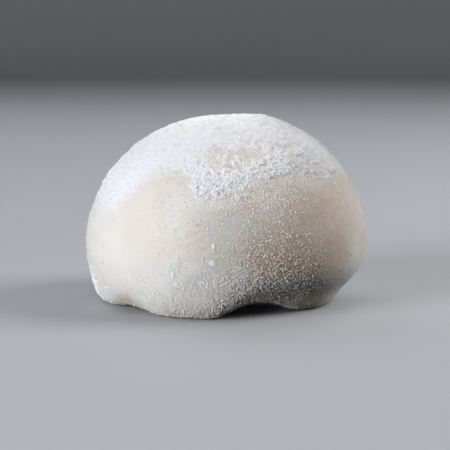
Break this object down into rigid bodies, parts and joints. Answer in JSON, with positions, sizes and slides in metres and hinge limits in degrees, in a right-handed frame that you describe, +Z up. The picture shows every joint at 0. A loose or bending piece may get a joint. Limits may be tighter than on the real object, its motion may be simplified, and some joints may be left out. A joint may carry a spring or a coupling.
{
  "type": "mochi rice cake",
  "caption": "Soft round rice cake, flattened where it rests, domed and dusted with starch.",
  "frame": {"origin": "on the surface it rests on, under the middle of the cake's outline in plan", "axes": "+Z up, -Y towards the front, +X to the right as seen from the front, along its greatest width"},
  "size_m": [0.05, 0.048, 0.0331],
  "materials": {
    "dusted_dough": null
  },
  "bodies": {
    "root": {"mochi": "dusted_dough"}
  },
  "joints": []
}
